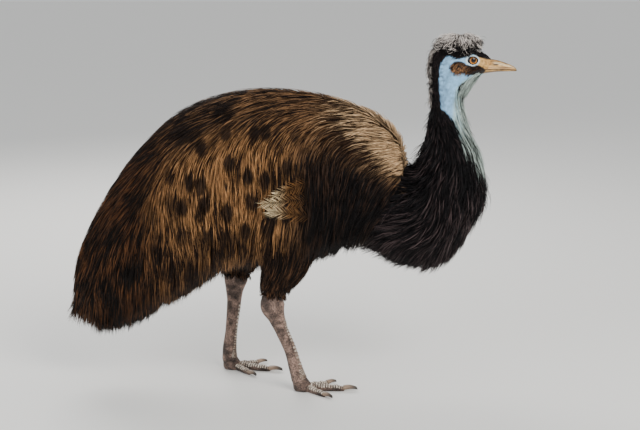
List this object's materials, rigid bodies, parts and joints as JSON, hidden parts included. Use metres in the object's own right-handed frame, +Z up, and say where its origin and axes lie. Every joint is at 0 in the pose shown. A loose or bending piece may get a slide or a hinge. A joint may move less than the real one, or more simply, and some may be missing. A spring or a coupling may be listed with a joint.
{
  "type": "emu model",
  "caption": "Life-size standing emu: deep shaggy body with a drooping tail, an upright curved neck, a curly crest, a flat bill and walking scaled legs.",
  "frame": {"origin": "middle of the bounding box's footprint, at floor level", "axes": "+X towards the bill, +Y towards the bird's left side, +Z up"},
  "size_m": [1.5522, 0.471, 1.2301],
  "materials": {
    "body_plumage": "shaggy hair-like feathers, dark brown on the back and tawny with dark oval spots on the flank",
    "dark_plumage": "brown-black bristly feathers",
    "face_skin": "pale blue bare skin with sparse dark feathers",
    "bill_horn": "smooth horn, tan with a dark ridge",
    "eye": "wet, with an amber iris and a black pupil",
    "leg_skin": "dry scales, grey-brown with a pink cast",
    "claw_horn": "worn dark horn"
  },
  "bodies": {
    "root": {"claw_inner_left": "claw_horn", "claw_inner_right": "claw_horn", "claw_middle_left": "claw_horn", "claw_middle_right": "claw_horn", "claw_outer_left": "claw_horn", "claw_outer_right": "claw_horn", "eye_left": "eye", "eye_right": "eye", "foot_left": "leg_skin", "foot_right": "leg_skin", "head": "face_skin", "lower_bill": "bill_horn", "neck_lower": "dark_plumage", "neck_middle": "dark_plumage", "neck_upper": "face_skin", "shank_left": "leg_skin", "shank_right": "leg_skin", "tail": "body_plumage", "thigh_left": "dark_plumage", "thigh_right": "dark_plumage", "toe_inner_left": "leg_skin", "toe_inner_right": "leg_skin", "toe_middle_left": "leg_skin", "toe_middle_right": "leg_skin", "toe_outer_left": "leg_skin", "toe_outer_right": "leg_skin", "torso": "body_plumage", "upper_bill": "bill_horn", "wing_left": "body_plumage", "wing_right": "body_plumage"}
  },
  "joints": []
}
